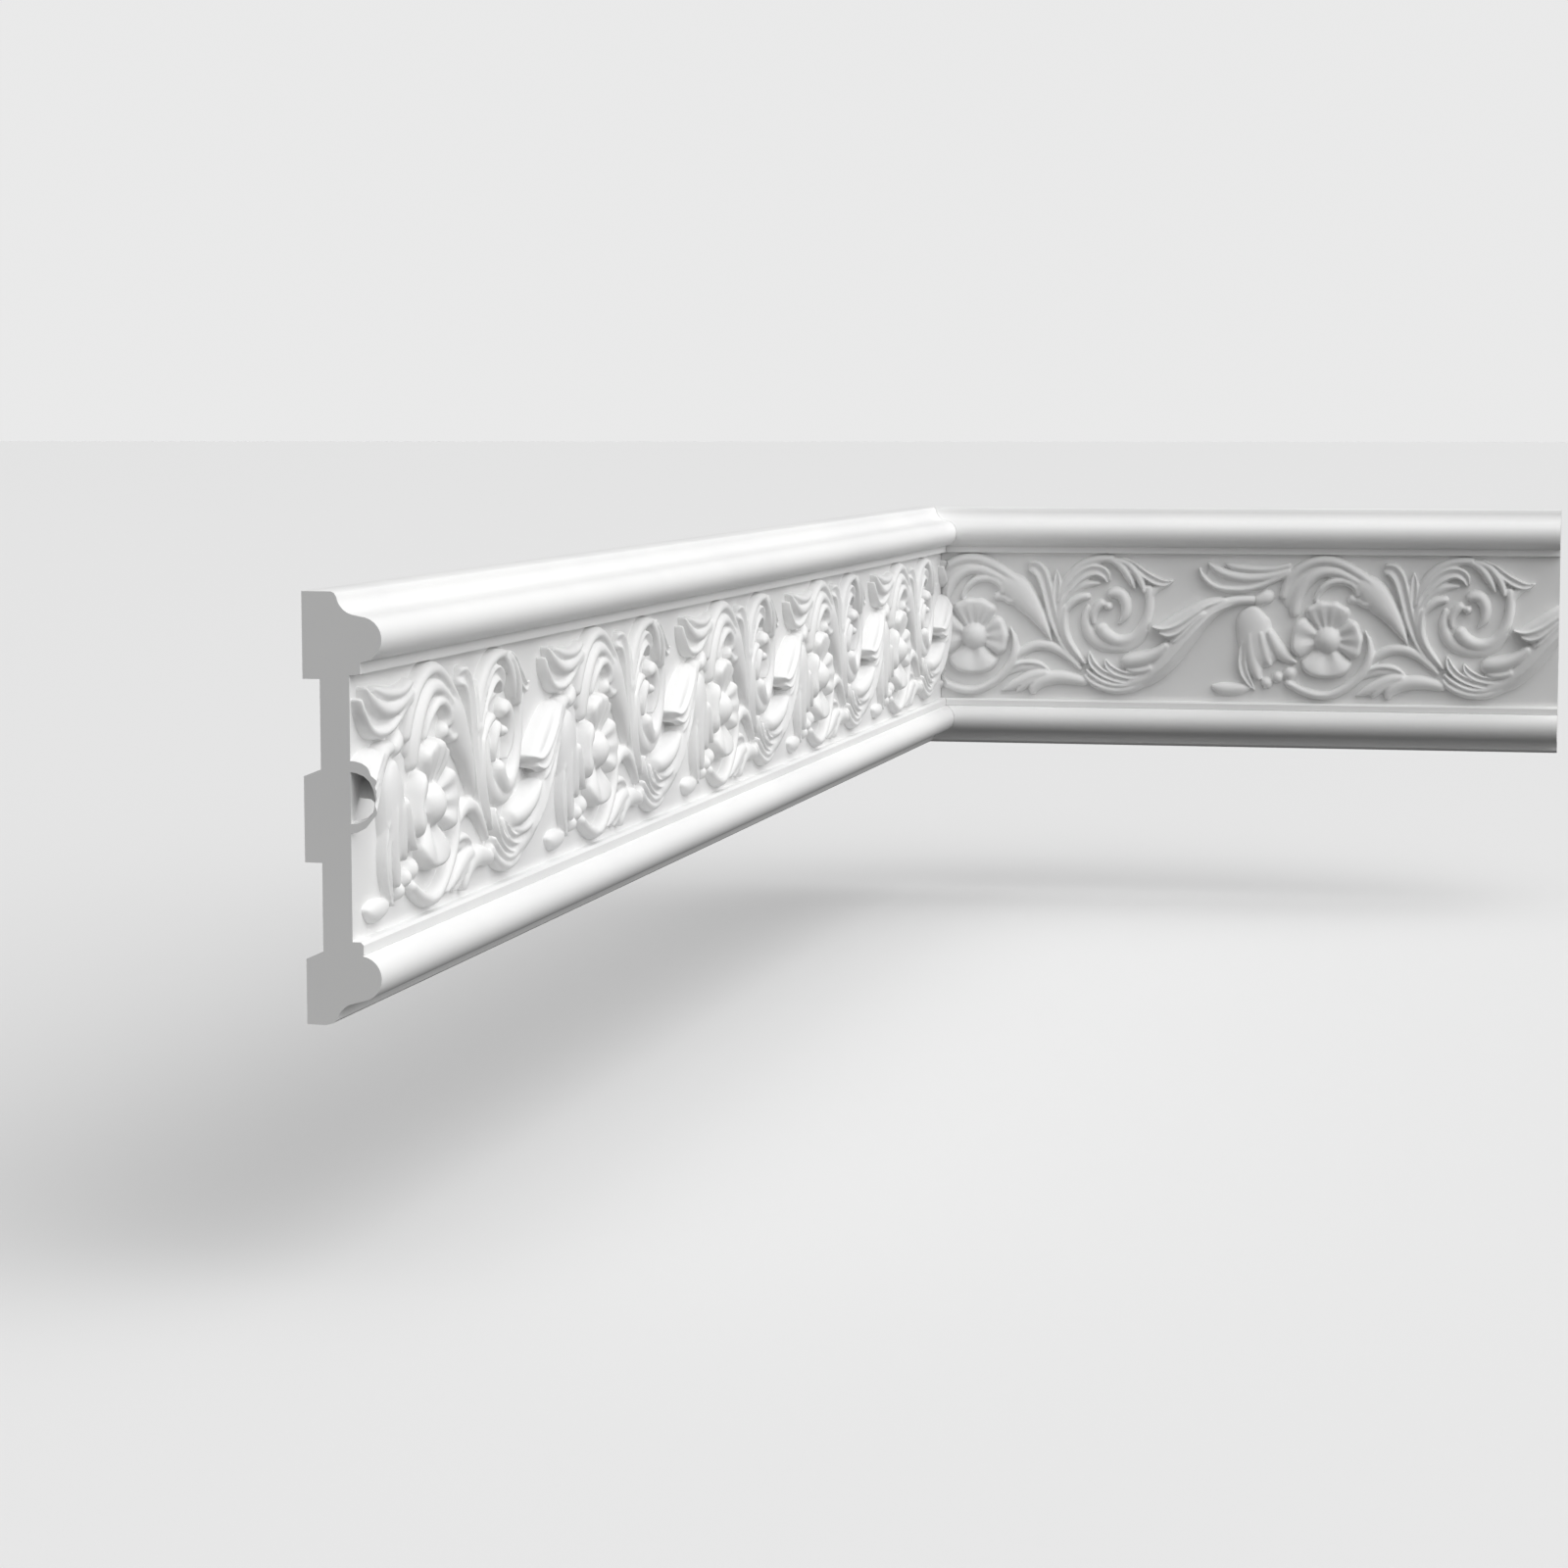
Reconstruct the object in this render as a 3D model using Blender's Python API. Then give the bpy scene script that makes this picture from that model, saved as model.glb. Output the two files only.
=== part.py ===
"""Inside corner of a cast wall moulding with a running scroll of leaves and rosettes.

Two lengths of one moulding meet in a mitre. Each length is an extruded profile with
a cove, a bead and a flat band between them, glue pads on its back, and the scroll of
leaves standing on the band. The model is metric, +Z is up, and the origin is on the
back of the left length, in the middle of its middle glue pad.
"""
import math

import bmesh
import bpy
from mathutils import Matrix, Vector

MM = 0.001

# Driving sizes, in metres
HEIGHT = 0.135
LEFT_RUN = 1.027
RIGHT_RUN = 0.3613
REPEAT = 0.200
JOINT_GAP = 0.0003

# Where the rosettes stand, from the start of each length
LEFT_ROSETTE = 0.073
RIGHT_ROSETTE = 0.0345

# Profile sizes in millimetres: depth out from the flat back, height up from the bottom
FIELD_DEPTH = 15.2
FIELD_BOTTOM = 26.3
FIELD_TOP = 109.1
FILLET_DEPTH = 18.8
RECESS_DEPTH = 5.6
LOW_PAD_TOP = 20.6
MIDDLE_PAD = (50.8, 77.7)
HIGH_PAD_BOTTOM = 107.9
RECESS_FLANK = 2.2

# Spare length past the moulding for the solids that trim it, in millimetres
DEEPEST = 40.0
SPARE = 6.0

# How the leaves are bedded in the band, in millimetres: where their edges start
# below its face, how deep their undersides lie, and how much deeper each next one is
EDGE_SINK = 1.0
BED = 2.5
BED_STEP = 0.02

# Corners closer than the first become one, and faces that turn by less than the
# second become one flat face
MERGE_DISTANCE = 0.00005
FLAT_ANGLE = math.radians(4)

# The hollow behind the leaf that the square cut opens, in millimetres
HOLLOW_HEIGHTS = (65.5, 78.0)
HOLLOW_DEPTHS = (16.5, 21.0)
HOLLOW_REACH = 9.0
HOLLOW_TAPER = 0.45

# Material of the primed casting
PRIMER_COLOUR = (0.86, 0.86, 0.85, 1.0)
PRIMER_ROUGHNESS = 0.5

# Forms of one leaf: how high its surface runs across its width, as shares of its crest
TENT = (0.0, 1.0, 0.0)
ROLL = (0.0, 0.84, 1.0, 0.84, 0.0)
GUTTER = (0.0, 1.0, 0.62, 1.0, 0.0)
FLUTED = (0.0, 1.0, 0.66, 1.0, 0.66, 1.0, 0.0)
BANK = (0.0, 0.5, 1.0, 0.0)

# Leaves and stems of one repeat. Millimetres across from the rosette's centre and up
# from the moulding's bottom, half widths from the root to the tip, crest heights
# above the band, the form across, and the number of steps along it.
LEAVES = (
    ("crescent", ((21, 67.5), (24, 57), (19.5, 43.5), (6, 32.5), (-9, 31.3), (-23.5, 38.5)),
     (0.4, 2.8, 2.6, 2.0), (3, 4.6, 4.6, 3.8), TENT, 5),
    ("arch", ((-20, 77), (-15.5, 90), (-6, 98.5), (6, 100), (18, 93.5), (30, 81), (44.8, 59.5)),
     (5, 7.4, 8.2, 8.4, 9, 8.8, 0.5), (3.4, 4.8, 5, 5, 5.3, 4.8, 3), FLUTED, 6),
    ("curled rim", ((-72, 104), (-67, 94.5), (-51, 88.8), (-36, 93.5), (-27, 98)),
     (0.6, 1.8, 2, 2), (3.8, 4.4, 4, 3.8), TENT, 3),
    ("curled leaf", ((-66.5, 104.8), (-53, 99), (-37, 98.4), (-20, 102)),
     (0.6, 4, 3.8, 2.4), (3.4, 4.9, 4.5, 3.8), TENT, 3),
    ("collar", ((-40, 83), (-32, 87)), (2.4, 4.6), (4.3, 4.2), TENT, 1),
    ("bell", ((-39.5, 81), (-40.3, 72), (-37, 59), (-33, 49)),
     (2.5, 10.4, 11, 8), (3.6, 5.4, 5.2, 3.4), ROLL, 3),
    ("bell left petal", ((-45.5, 61), (-46.3, 50), (-39.8, 33)),
     (1.5, 2.8, 0.4), (4.2, 3.9, 2.6), TENT, 2),
    ("bell middle petal", ((-42, 61), (-40.5, 50), (-36, 41.5)),
     (2.8, 4.2, 1.6), (5.2, 4.9, 3.8), TENT, 2),
    ("bell right petal", ((-30.5, 62), (-26, 53), (-17, 48.5)),
     (3.4, 4.4, 1), (5.2, 4.7, 3), TENT, 2),
    ("low lobe", ((-64.5, 35.2), (-54, 33.6), (-42, 34.5)),
     (1, 4.2, 1.2), (1.6, 3.4, 1.8), TENT, 2),
    ("stem", ((31.5, 100.5), (41.5, 95), (45.5, 82), (50, 68), (56.5, 55), (63, 45.5)),
     (3, 4, 4.4, 4.4, 2), (3.2, 4.3, 4.4, 4.2, 3.4), GUTTER, 4),
    ("pointed leaf", ((47.8, 99.7), (46.8, 80)), (0.4, 2), (2.6, 4.2), TENT, 1),
    ("scroll back", ((51, 80), (56, 95), (69, 104.5), (84, 106)),
     (2, 3.2, 3.4, 2), (3.6, 3.8, 4.2, 4.5), TENT, 3),
    ("upper leaf", ((49, 80), (56, 93), (68, 99.6), (77.2, 93)),
     (1.4, 3, 4, 0.5), (4.2, 4.6, 4.6, 3.3), TENT, 3),
    ("short leaf", ((51.5, 76.5), (58, 83.2), (68.5, 86)), (1.6, 2.6, 2), (4.4, 4.4, 3.8), TENT, 2),
    ("volute", ((67.5, 76), (69, 66), (77, 59.5), (88, 58.6), (97, 66), (100, 79), (99.3, 93)),
     (3.4, 5.4, 5, 4.4, 3.2, 2.4), (3.8, 4.6, 4, 3.5, 3.3, 3.4), BANK, 6),
    ("inner crescent", ((74, 85.5), (82, 87), (86.3, 78), (81.8, 69)),
     (1.8, 3.4, 3.2, 0.5), (4, 4.7, 4.4, 3), TENT, 3),
    ("inner leaf", ((68, 69.5), (69.5, 78), (78, 80.5)), (0.5, 2.4, 2.8), (3, 4.2, 4.4), TENT, 2),
    ("upper rib", ((72, 105), (85, 101), (92.3, 91)), (1.4, 2.6, 0.5), (3.6, 4.8, 3.4), TENT, 2),
    ("lower rib", ((79, 106), (91.5, 100), (98.5, 87.5)), (1.4, 2.6, 0.8), (4.1, 5, 3.8), TENT, 2),
    ("long tip", ((86, 106), (97, 98.2), (106, 92.8), (114, 94.2)),
     (1.4, 2.6, 2.4, 0.4), (4.2, 4.3, 3.4, 2.4), TENT, 3),
    ("lobe one", ((66.2, 54.2), (72, 43.3), (84, 37.5), (97, 38.5)),
     (0.5, 2.6, 2.4, 2), (3.9, 4.9, 4.7, 4.6), TENT, 2),
    ("lobe two", ((75.6, 49.6), (83, 42), (98, 41)), (0.5, 2.6, 2), (3.9, 4.9, 4.7), TENT, 2),
    ("low stem", ((63.5, 42), (72, 35), (84, 33), (99, 37.5)),
     (2, 3.2, 3.4, 3.4), (3.6, 4.2, 4.4, 4.8), TENT, 3),
    ("lobe three", ((85.8, 48.6), (95.5, 45.3), (108, 49)), (1, 5.4, 5), (5, 6.8, 7.2), TENT, 2),
    ("great stem", ((88, 36), (104, 42.5), (114, 53), (125, 66.5), (139, 79.2), (161.5, 84)),
     (3.2, 5.4, 5.8, 3.6, 2.5), (4.4, 7.4, 8.3, 7.8, 3.8), TENT, 6),
    ("stem tip", ((102.3, 68.3), (116, 68.5), (128, 76.5), (145, 84.3)),
     (0.5, 2, 2, 1.4), (7.4, 8.7, 8.4, 5), TENT, 3),
    ("upper arc", ((21, 44.5), (34, 54.8), (49, 53), (62, 43)),
     (1, 4, 3.4, 1.4), (2.2, 3.5, 3.6, 3.1), TENT, 3),
    ("low leaf", ((16, 30.3), (29, 36.2), (43, 41)), (0.6, 4.4, 2.4), (2.2, 3.8, 4), TENT, 2),
    ("wide leaf", ((33.8, 28.5), (40.5, 37.3), (53, 38.6), (66, 36)),
     (1.8, 4, 3.6, 2.6), (3.2, 4.3, 4.2, 3.8), TENT, 3),
)

# Round forms of one repeat: across, up, radius and crest
BERRIES = ((-33.4, 37.4, 3.6, 3.9), (-27.2, 40.8, 3.7, 4.2), (-20.4, 42.8, 4.6, 4.1))

# The rosette
ROSETTE_HEIGHT = 61.3
BUTTON_RADIUS = 8.0
BUTTON_CREST = 7.0
PETAL_RADII = (20.4, 23.0, 20.4, 22.2)
PETAL_ROOT = 3.3
PETAL_SPREAD = math.radians(43)
PETAL_ROOT_SPREAD = 0.72
PETAL_CORNER_CUT = 0.1
PETAL_STEPS_ACROSS = 4
# Share of the way out to a petal's edge, and the height above the band there
PETAL_PROFILE = ((0.0, 2.8), (0.8, 5.7), (1.0, -EDGE_SINK))
BUTTON_STEPS = 4
BERRY_STEPS = 2


def clear_scene():
    for thing in list(bpy.data.objects):
        bpy.data.objects.remove(thing, do_unlink=True)


def arc(centre, radius, start, end, steps):
    """Points of an arc in degrees, both ends included."""
    points = []
    for step in range(steps + 1):
        angle = math.radians(start + (end - start) * step / steps)
        points.append((centre[0] + radius * math.cos(angle), centre[1] + radius * math.sin(angle)))
    return points


def profile_points():
    """Outline of the moulding's section as depth and height in millimetres."""
    top = HEIGHT / MM
    pad_low, pad_high = MIDDLE_PAD
    outline = [(0.0, 0.0), (6.2, 0.0), (8.4, 0.6)]
    outline += arc((16.5, 0.2), 6.8, 168, 107, 3)
    outline += arc((17.5, 14.9), 7.1, -80, 82, 7)
    outline += [(FILLET_DEPTH, 22.4), (FILLET_DEPTH, 25.3), (17.9, FIELD_BOTTOM)]
    outline += [(FIELD_DEPTH, FIELD_BOTTOM), (FIELD_DEPTH, FIELD_TOP)]
    outline += [(FILLET_DEPTH, 109.6), (FILLET_DEPTH, 113.1)]
    outline += arc((18.8, 120.3), 7.0, -68, 88, 7)
    outline += arc((18.0, 134.5), 6.8, 262, 190, 4)
    outline += [(10.6, 134.5), (9.6, top), (0.0, top)]
    outline += [(0.0, HIGH_PAD_BOTTOM), (RECESS_DEPTH, HIGH_PAD_BOTTOM)]
    outline += [(RECESS_DEPTH, pad_high + RECESS_FLANK), (0.0, pad_high)]
    outline += [(0.0, pad_low), (RECESS_DEPTH, pad_low)]
    outline += [(RECESS_DEPTH, LOW_PAD_TOP + RECESS_FLANK), (0.0, LOW_PAD_TOP)]
    return outline


def smooth_value(stations, place):
    """Value on the smooth curve through evenly spaced stations, place from 0 to 1."""
    knots = [Vector(station) for station in stations]
    knots.insert(0, 2 * knots[0] - knots[1])
    knots.append(2 * knots[-1] - knots[-2])
    spans = len(knots) - 3
    reach = min(max(place, 0.0), 1.0) * spans
    span = min(int(reach), spans - 1)
    t = reach - span
    a, b, c, d = knots[span:span + 4]
    return 0.5 * (2 * b + (c - a) * t + (2 * a - 5 * b + 4 * c - d) * t * t
                  + (3 * b - a - 3 * c + d) * t * t * t)


def number_along(stations, place):
    """The same for plain numbers."""
    return smooth_value([(value, 0.0) for value in stations], place)[0]


def leaf_place(path, half_widths, crests, form):
    """Function from along and across, each 0 to 1, to across, up and height."""
    steps_across = len(form) - 1

    def place(along, across):
        here = smooth_value(path, along)
        ahead = smooth_value(path, min(along + 0.01, 1.0))
        behind = smooth_value(path, max(along - 0.01, 0.0))
        direction = (ahead - behind).normalized()
        side = Vector((-direction.y, direction.x))
        point = here + side * number_along(half_widths, along) * (2.0 * across - 1.0)
        share = form[round(across * steps_across)]
        height = (number_along(crests, along) + EDGE_SINK) * share - EDGE_SINK
        return point.x, point.y, height

    return place


def petal_place(middle_angle, radius):
    """Function for one petal of the rosette, along its length and across it."""
    def place(along, across):
        share, height = PETAL_PROFILE[round(along * (len(PETAL_PROFILE) - 1))]
        swing = 2.0 * across - 1.0
        edge = radius * (1.0 - PETAL_CORNER_CUT * swing ** 4)
        reach = PETAL_ROOT + (edge - PETAL_ROOT) * share
        narrowing = PETAL_ROOT_SPREAD + (1.0 - PETAL_ROOT_SPREAD) * share
        angle = middle_angle + PETAL_SPREAD * swing * narrowing
        if across in (0.0, 1.0):
            height = -EDGE_SINK
        return reach * math.cos(angle), ROSETTE_HEIGHT + reach * math.sin(angle), height

    return place


def dome_place(across_centre, up_centre, radius, crest):
    """Function for a dome over a square patch drawn out to a circle."""
    def place(along, across):
        x, y = 2.0 * along - 1.0, 2.0 * across - 1.0
        reach = max(abs(x), abs(y))
        angle = math.atan2(y, x)
        height = (crest + EDGE_SINK) * math.cos(reach * math.pi / 2) - EDGE_SINK
        spread = radius * math.sin(reach * math.pi / 2)
        return (across_centre + spread * math.cos(angle),
                up_centre + spread * math.sin(angle), height)

    return place


def add_shell(mesh, along_steps, across_steps, place, bed):
    """A closed form over a grid: its top follows place, its underside is flat."""
    grid = bmesh.ops.create_grid(mesh, x_segments=along_steps, y_segments=across_steps, size=1.0)
    faces = list({face for vert in grid["verts"] for face in vert.link_faces})
    for vert in grid["verts"]:
        across, up, height = place(vert.co.x / 2 + 0.5, vert.co.y / 2 + 0.5)
        vert.co = Vector((across, -FIELD_DEPTH - height, up)) * MM
    under = bmesh.ops.extrude_face_region(mesh, geom=faces)
    for item in under["geom"]:
        if isinstance(item, bmesh.types.BMVert):
            item.co.y = -(FIELD_DEPTH - bed) * MM
    shell = {face for vert in grid["verts"] for face in vert.link_faces}
    shell |= {item for item in under["geom"] if isinstance(item, bmesh.types.BMFace)}
    bmesh.ops.recalc_face_normals(mesh, faces=list(shell))


def new_object(name, mesh):
    bmesh.ops.recalc_face_normals(mesh, faces=mesh.faces)
    data = bpy.data.meshes.new(name)
    mesh.to_mesh(data)
    mesh.free()
    thing = bpy.data.objects.new(name, data)
    bpy.context.scene.collection.objects.link(thing)
    return thing


def hide_cutter(thing):
    thing.hide_render = True
    thing.display_type = "WIRE"


def scroll_forms():
    """Every leaf, dome and petal of one repeat: steps along, steps across, place."""
    forms = []
    for name, path, half_widths, crests, form, steps in LEAVES:
        forms.append((steps, len(form) - 1, leaf_place(path, half_widths, crests, form)))
    button = dome_place(0.0, ROSETTE_HEIGHT, BUTTON_RADIUS, BUTTON_CREST)
    forms.append((BUTTON_STEPS, BUTTON_STEPS, button))
    for across, up, radius, crest in BERRIES:
        forms.append((BERRY_STEPS, BERRY_STEPS, dome_place(across, up, radius, crest)))
    for quarter, radius in enumerate(PETAL_RADII):
        petal = petal_place(quarter * math.pi / 2, radius)
        forms.append((len(PETAL_PROFILE) - 1, PETAL_STEPS_ACROSS, petal))
    return forms


def relief_mesh():
    """One repeat of the scroll, its forms joined into one closed mesh bedded in the band."""
    shells = []
    for number, (along_steps, across_steps, place) in enumerate(scroll_forms()):
        mesh = bmesh.new()
        add_shell(mesh, along_steps, across_steps, place, BED + BED_STEP * number)
        shells.append(new_object("scroll_form_" + str(number), mesh))
    for shell in shells[1:]:
        boolean(shells[0], shell, "UNION")
    joined = shells[0].evaluated_get(bpy.context.evaluated_depsgraph_get())
    data = bpy.data.meshes.new_from_object(joined)
    data.name = "scroll_repeat"
    for shell in shells:
        bpy.data.objects.remove(shell, do_unlink=True)
    return data


def extruded(name, outline, start, end):
    """A solid of the outline, depth and height, from start to end along X."""
    mesh = bmesh.new()
    verts = [mesh.verts.new((start, -depth * MM, height * MM)) for depth, height in outline]
    face = mesh.faces.new(verts)
    moved = bmesh.ops.extrude_face_region(mesh, geom=[face])
    for item in moved["geom"]:
        if isinstance(item, bmesh.types.BMVert):
            item.co.x = end
    return new_object(name, mesh)


def keep_block(name, corners):
    """An upright block over plan corners, taller than the moulding."""
    mesh = bmesh.new()
    verts = [mesh.verts.new((x, y, -SPARE * MM)) for x, y in corners]
    face = mesh.faces.new(verts)
    moved = bmesh.ops.extrude_face_region(mesh, geom=[face])
    for item in moved["geom"]:
        if isinstance(item, bmesh.types.BMVert):
            item.co.z = HEIGHT + SPARE * MM
    block = new_object(name, mesh)
    hide_cutter(block)
    return block


def hollow(name):
    """The small tapering hollow behind the leaf at the square cut."""
    mesh = bmesh.new()
    bmesh.ops.create_cube(mesh, size=1.0)
    low, high = HOLLOW_HEIGHTS
    near, far = HOLLOW_DEPTHS
    for vert in mesh.verts:
        inner = vert.co.x > 0
        shrink = HOLLOW_TAPER if inner else 1.0
        height = (low + high) / 2 + vert.co.z * (high - low) * shrink
        depth = (near + far) / 2 + vert.co.y * (near - far) * shrink
        vert.co = Vector((HOLLOW_REACH if inner else -SPARE, -depth, height)) * MM
    cutter = new_object(name, mesh)
    hide_cutter(cutter)
    return cutter


def boolean(thing, cutter, operation):
    change = thing.modifiers.new(cutter.name, "BOOLEAN")
    change.object = cutter
    change.operation = operation
    change.solver = "MANIFOLD"


def simplify(thing):
    """Merge the slivers the cuts leave, and make nearly flat faces one."""
    weld = thing.modifiers.new("merge_corners", "WELD")
    weld.merge_threshold = MERGE_DISTANCE
    flatten = thing.modifiers.new("flatten", "DECIMATE")
    flatten.decimate_type = "DISSOLVE"
    flatten.angle_limit = FLAT_ANGLE


def primer():
    material = bpy.data.materials.new("white_primer")
    material.use_nodes = True
    shader = material.node_tree.nodes["Principled BSDF"]
    shader.inputs["Base Color"].default_value = PRIMER_COLOUR
    shader.inputs["Roughness"].default_value = PRIMER_ROUGHNESS
    shader.inputs["Metallic"].default_value = 0.0
    return material


def add_length(name, run, first_rosette, plan_corners, placement, scroll):
    """One length of moulding with its scroll, cut to its plan and put in place."""
    body = extruded(name, profile_points(), -SPARE * MM, run + SPARE * MM)
    count = math.ceil((run - first_rosette) / REPEAT) + 2
    for number in range(-1, count - 1):
        leaves = bpy.data.objects.new(f"{name}_scroll_{number + 1}", scroll)
        leaves.location.x = first_rosette + number * REPEAT
        bpy.context.scene.collection.objects.link(leaves)
        hide_cutter(leaves)
        boolean(body, leaves, "UNION")
        leaves.parent = body
    block = keep_block(f"{name}_plan", plan_corners)
    boolean(body, block, "INTERSECT")
    block.parent = body
    body.matrix_world = placement
    body.data.materials.append(primer())
    return body


def build():
    clear_scene()
    scroll = relief_mesh()
    origin = Vector((0.0, -LEFT_RUN / 2, sum(MIDDLE_PAD) / 2 * MM))
    deep = DEEPEST * MM
    behind = SPARE * MM
    slant = JOINT_GAP / math.sqrt(2)

    left_plan = ((0.0, behind), (LEFT_RUN + behind - slant, behind),
                 (LEFT_RUN - deep - slant, -deep), (0.0, -deep))
    turn = Matrix.Rotation(math.pi / 2, 4, "Z")
    left_placement = Matrix.Translation(Vector((0.0, -LEFT_RUN, 0.0)) - origin) @ turn
    left = add_length("left_length", LEFT_RUN, LEFT_ROSETTE, left_plan, left_placement, scroll)
    cut = hollow("left_hollow")
    boolean(left, cut, "DIFFERENCE")
    cut.parent = left
    simplify(left)

    right_plan = ((slant - behind, behind), (RIGHT_RUN, behind),
                  (RIGHT_RUN, -deep), (deep + slant, -deep))
    right = add_length("right_length", RIGHT_RUN, RIGHT_ROSETTE, right_plan,
                       Matrix.Translation(-origin), scroll)
    simplify(right)


build()
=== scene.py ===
# %% [markdown]
# # The inside corner of a leaf-scroll moulding
#
# The real object is a white primed frieze moulding, cast in hard foam. Two lengths of it
# meet in a mitre at an inside corner. Each length has the same section all along, a cove
# and a bead above and below a flat band, and a running scroll of leaves, bell flowers and
# rosettes stands on the band.
#
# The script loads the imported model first, so that every piece is made in its place, and
# then makes the camera, the section, the carving, the two lengths, their finish and the
# light.

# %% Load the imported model
import math

import bmesh
import bpy
from mathutils import Matrix, Vector


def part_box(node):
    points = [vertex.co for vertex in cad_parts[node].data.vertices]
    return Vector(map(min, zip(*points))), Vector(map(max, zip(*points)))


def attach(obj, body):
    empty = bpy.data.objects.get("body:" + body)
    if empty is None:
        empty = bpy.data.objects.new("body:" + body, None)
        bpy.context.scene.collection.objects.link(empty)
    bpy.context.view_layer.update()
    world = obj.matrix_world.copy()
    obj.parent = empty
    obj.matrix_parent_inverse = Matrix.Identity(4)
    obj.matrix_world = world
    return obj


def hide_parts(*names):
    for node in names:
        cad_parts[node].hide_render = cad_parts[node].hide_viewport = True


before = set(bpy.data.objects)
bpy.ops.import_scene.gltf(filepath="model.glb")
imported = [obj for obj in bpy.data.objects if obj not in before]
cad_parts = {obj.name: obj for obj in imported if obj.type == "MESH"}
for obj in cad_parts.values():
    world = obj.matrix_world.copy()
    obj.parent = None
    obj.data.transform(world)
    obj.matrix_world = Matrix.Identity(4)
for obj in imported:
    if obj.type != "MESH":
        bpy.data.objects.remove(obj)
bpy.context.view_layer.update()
MM = 0.001
print("nodes:", sorted(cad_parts))

# %% [markdown]
# ## Where the moulding stands
#
# The long length lies along Y on the left and the short one along X on the right. Both
# are modelled lying in one and the same strip: across is the way along the moulding,
# depth is the way out from its flat back and up is up. The strip of the left length is
# turned by a quarter when it is done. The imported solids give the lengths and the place
# of the corner, so nothing is fitted by eye.

# %% Sizes of the two lengths
left_low, left_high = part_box("left_length")
_, right_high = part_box("right_length")
bottom = left_low[2]
height = (left_high[2] - left_low[2]) / MM
corner = Vector((left_low[0], right_high[1], bottom))
left_run = corner.y - left_low[1]
right_run = right_high[0] - corner.x
REPEAT = 0.200
LEFT_ROSETTE = 0.073
RIGHT_ROSETTE = 0.0345
print(f"left {left_run:.4f} m, right {right_run:.4f} m, {height:.1f} mm high")

# %% [markdown]
# ## The camera
#
# A picture made with a long lens hardly makes near things larger. The lens and the place
# are those that put the moulding's corners where the photograph has them. The camera is
# made early, because everything after it is judged through it.

# %% Camera
LENS = 85.705
SENSOR_WIDTH = 36.0
CAMERA_PLACE = (0.3994, -1.6023, 0.1262)
LOOK_DOWN = math.radians(5.728)
TURN_LEFT = math.radians(12.780)
TILT = math.radians(-0.076)

lens_data = bpy.data.cameras.new("camera")
lens_data.lens = LENS
lens_data.sensor_width = SENSOR_WIDTH
camera = bpy.data.objects.new("camera", lens_data)
bpy.context.scene.collection.objects.link(camera)
aim = Matrix.Rotation(TURN_LEFT, 4, "Z") @ Matrix.Rotation(math.pi / 2 - LOOK_DOWN, 4, "X")
camera.matrix_world = Matrix.Translation(CAMERA_PLACE) @ aim @ Matrix.Rotation(TILT, 4, "Z")
bpy.context.scene.camera = camera
print("camera looks down", round(math.degrees(LOOK_DOWN), 2), "degrees")

# %% [markdown]
# ## The section
#
# The section is a closed outline of straight stretches and arcs. It could be drawn as a
# curve, but here it is built edge by edge: a straight stretch is one new vertex, and an
# arc is a vertex that the spin operator carries round a centre. The filled outline is
# then extruded along the whole length in one step, because nothing changes along it.

# %% Section of the moulding
# In millimetres: each cove and bead as the depth and height of its arc's middle, and its
# radius, and then the band, the steps beside it and the pads and recesses of the back
LOW_COVE = (16.5, 0.2, 6.8)
LOW_BEAD = (17.5, 14.9, 7.1)
HIGH_BEAD = (18.8, 120.3, 7.0)
HIGH_COVE = (18.0, 134.5, 6.8)
FIELD_DEPTH = 15.2
FIELD_BOTTOM = 26.3
FIELD_TOP = 109.1
FILLET_DEPTH = 18.8
RECESS_DEPTH = 5.6
LOW_PAD_TOP = 20.6
MIDDLE_PAD = (50.8, 77.7)
HIGH_PAD_BOTTOM = 107.9
RECESS_FLANK = 2.2
SPARE = 6.0
ARC_STEPS = 12


def strip_point(across, depth, up):
    """A place in the strip, from millimetres to metres."""
    return Vector((across, -depth, up)) * MM


def add_corner(mesh, depth, up):
    """One more corner of the outline, joined to the last one by a straight edge."""
    mesh.verts.ensure_lookup_table()
    last = mesh.verts[-1] if len(mesh.verts) else None
    vert = mesh.verts.new(strip_point(0.0, depth, up))
    if last:
        mesh.edges.new((last, vert))


def add_arc(mesh, depth, up, radius, start, end):
    """Carry a corner round an arc; angles in degrees from straight out of the back."""
    angle = math.radians(start)
    add_corner(mesh, depth + radius * math.cos(angle), up + radius * math.sin(angle))
    mesh.verts.ensure_lookup_table()
    bmesh.ops.spin(mesh, geom=[mesh.verts[-1]], cent=strip_point(0.0, depth, up),
                   axis=(1.0, 0.0, 0.0), angle=-math.radians(end - start), steps=ARC_STEPS)


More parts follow.
